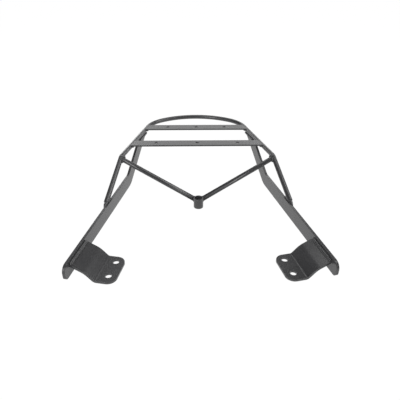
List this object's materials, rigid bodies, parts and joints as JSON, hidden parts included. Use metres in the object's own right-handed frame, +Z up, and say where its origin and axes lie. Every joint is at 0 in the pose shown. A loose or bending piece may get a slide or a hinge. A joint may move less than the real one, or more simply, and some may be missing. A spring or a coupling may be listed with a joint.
{
  "type": "motorcycle rear luggage carrier",
  "caption": "Rigid welded rear luggage carrier: round-bar hoop with flat cross bars on two splayed flat arms with bolt-on brackets and a centre sleeve.",
  "frame": {"origin": "under the middle of the bounding box, on the plane that the two bracket tabs rest on", "axes": "+X to the carrier's right, +Y to its rear (towards the hoop's arc), +Z up"},
  "size_m": [0.4156, 0.5086, 0.0878],
  "materials": {
    "black_paint": "satin black powder coat with a fine texture on steel bar",
    "painted_weld": "satin black powder coat over rippled weld beads"
  },
  "bodies": {
    "root": {"hoop": "black_paint", "front_cross_bar": "black_paint", "rear_cross_bar": "black_paint", "centre_boss": "black_paint", "left_side_arm": "black_paint", "left_stay": "black_paint", "left_mounting_bracket": "black_paint", "right_side_arm": "black_paint", "right_stay": "black_paint", "right_mounting_bracket": "black_paint", "left_leg_foot_weld": "painted_weld", "left_stay_top_weld": "painted_weld", "left_stay_boss_weld": "painted_weld", "left_arm_outer_weld": "painted_weld", "left_arm_inner_weld": "painted_weld", "left_bracket_upper_weld": "painted_weld", "left_bracket_lower_weld": "painted_weld", "left_front_bar_weld": "painted_weld", "left_rear_bar_weld": "painted_weld", "right_leg_foot_weld": "painted_weld", "right_stay_top_weld": "painted_weld", "right_stay_boss_weld": "painted_weld", "right_arm_outer_weld": "painted_weld", "right_arm_inner_weld": "painted_weld", "right_bracket_upper_weld": "painted_weld", "right_bracket_lower_weld": "painted_weld", "right_front_bar_weld": "painted_weld", "right_rear_bar_weld": "painted_weld"}
  },
  "joints": []
}
